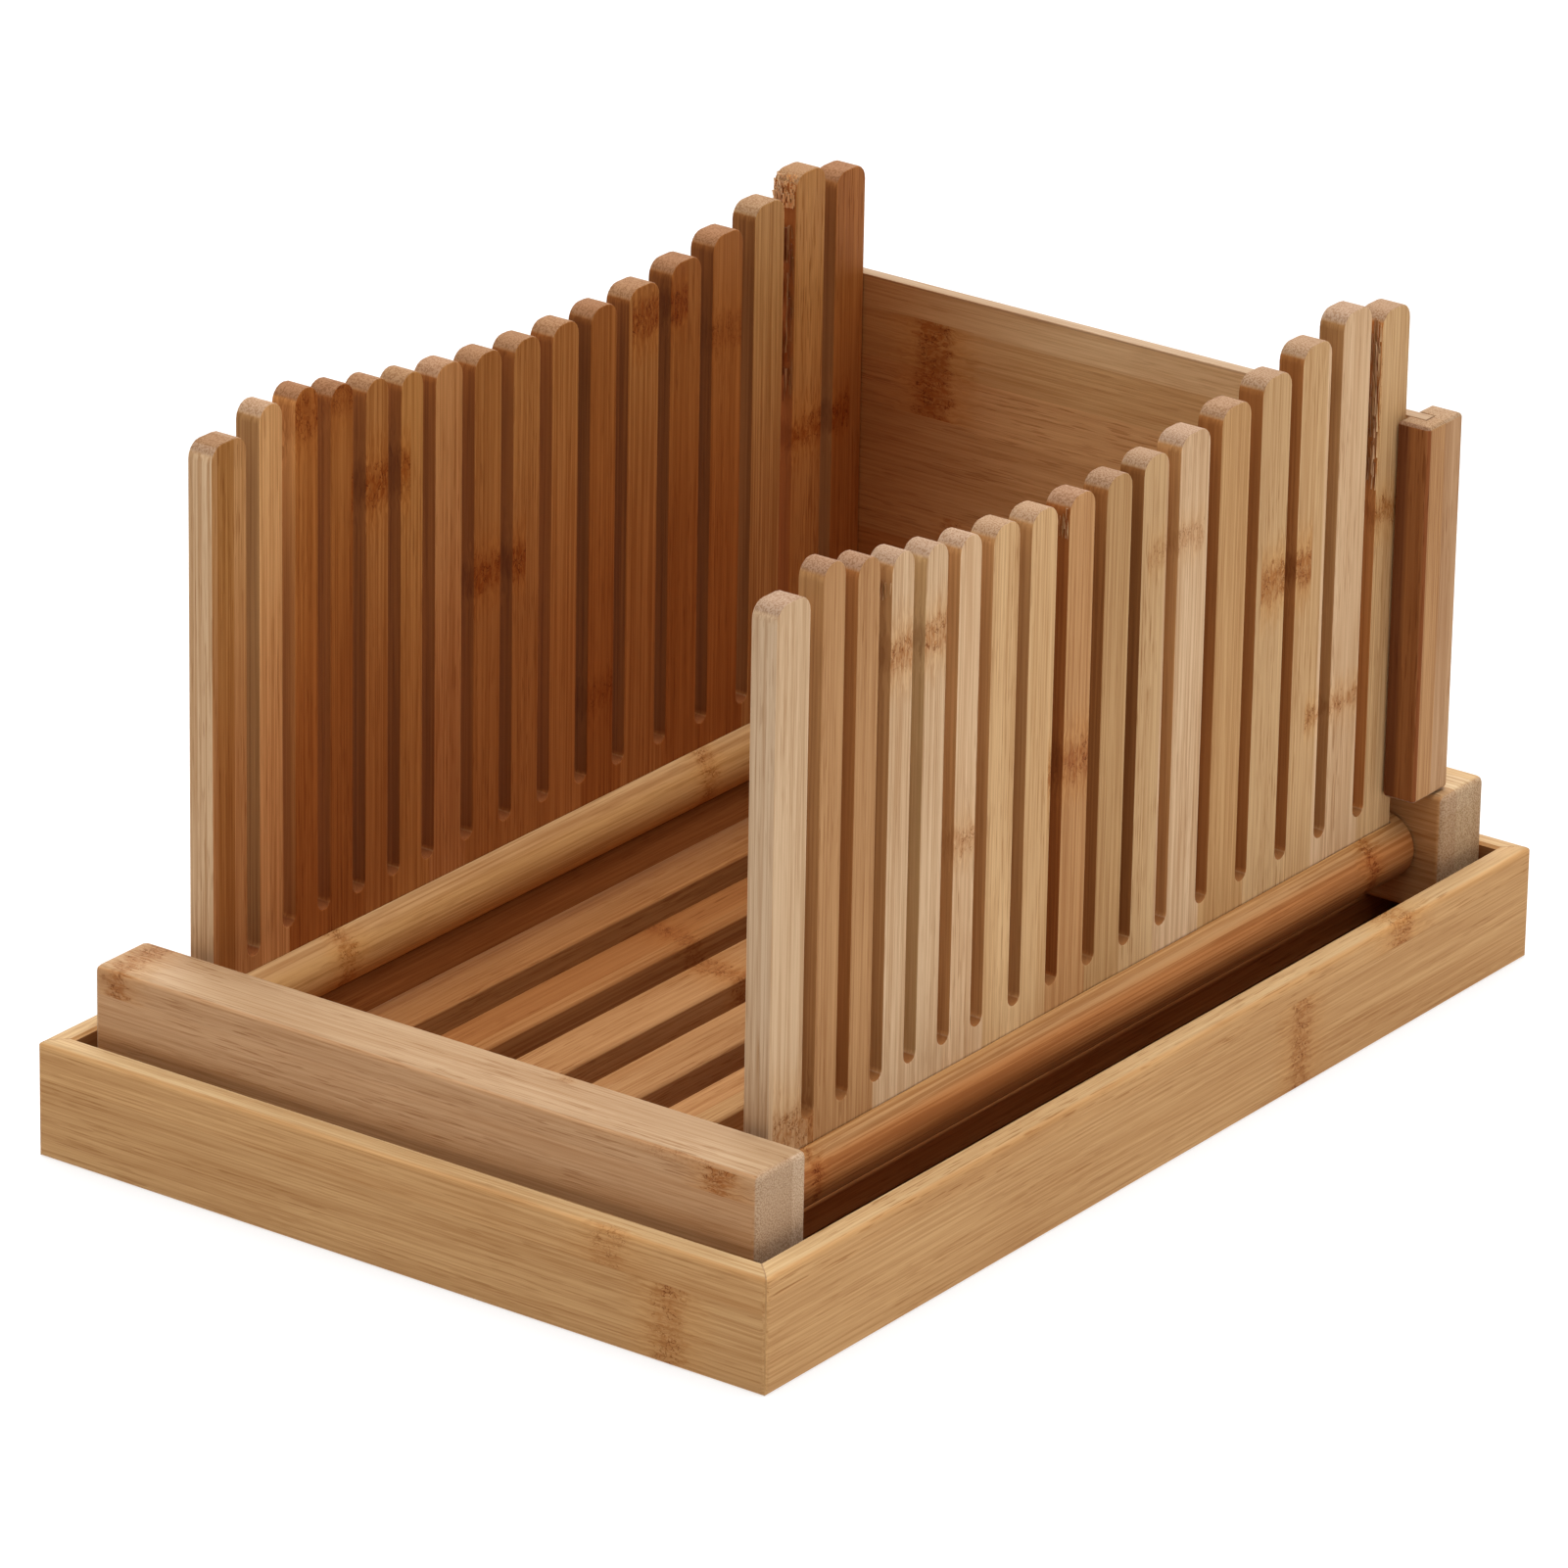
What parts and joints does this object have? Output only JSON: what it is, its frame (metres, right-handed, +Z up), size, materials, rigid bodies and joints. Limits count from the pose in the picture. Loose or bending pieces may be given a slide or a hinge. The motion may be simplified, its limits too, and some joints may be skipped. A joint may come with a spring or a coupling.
{
  "type": "bread slicing guide",
  "caption": "Fold-flat bread slicing guide: slotted comb walls hinge down over crumb slats between end bars, with a lift-out back panel and a mitred crumb tray beneath.",
  "frame": {"origin": "middle of the crumb tray's underside, on the surface it stands on", "axes": "+Y lengthwise from the front bar to the back panel, +Z up, +X to the right seen from the front bar"},
  "size_m": [0.226, 0.3394, 0.1919],
  "materials": {
    "tray_board": "satin bamboo",
    "tray_floor": "satin bamboo",
    "bar": "satin bamboo",
    "slat": "satin bamboo",
    "comb_wall": "satin bamboo",
    "rod": "satin bamboo",
    "pivot_pin": "satin bamboo",
    "back_panel": "satin bamboo",
    "cleat": "satin bamboo"
  },
  "bodies": {
    "tray": {"tray_left_board": "tray_board", "tray_front_board": "tray_board", "tray_right_board": "tray_board", "tray_rear_board": "tray_board", "tray_floor": "tray_floor"},
    "slicer_frame": {"front_bar": "bar", "rear_bar": "bar", "slat_1": "slat", "slat_2": "slat", "slat_3": "slat", "slat_4": "slat", "slat_5": "slat", "slat_6": "slat", "slat_7": "slat"},
    "left_wall": {"left_rod": "rod", "left_comb_wall": "comb_wall", "left_front_pivot_pin": "pivot_pin", "left_rear_pivot_pin": "pivot_pin"},
    "right_wall": {"right_rod": "rod", "right_comb_wall": "comb_wall", "right_front_pivot_pin": "pivot_pin", "right_rear_pivot_pin": "pivot_pin"},
    "panel_and_cleats": {"back_panel": "back_panel", "left_cleat": "cleat", "right_cleat": "cleat"}
  },
  "joints": [
    {"name": "frame_lift", "type": "slide", "parent": "tray", "child": "slicer_frame", "axis": [0, 0, 1], "range_m": [0, 0.06]},
    {"name": "left_wall_fold", "type": "hinge", "parent": "slicer_frame", "child": "left_wall", "pos_m": [-0.0857, 0.0008, 0.03455], "axis": [0, 1, 0], "range_deg": [0, 87]},
    {"name": "right_wall_fold", "type": "hinge", "parent": "slicer_frame", "child": "right_wall", "pos_m": [0.0857, 0.0008, 0.03455], "axis": [0, -1, 0], "range_deg": [0, 94]},
    {"name": "panel_lift", "type": "slide", "parent": "slicer_frame", "child": "panel_and_cleats", "axis": [0, 0, 1], "range_m": [0, 0.18]}
  ]
}
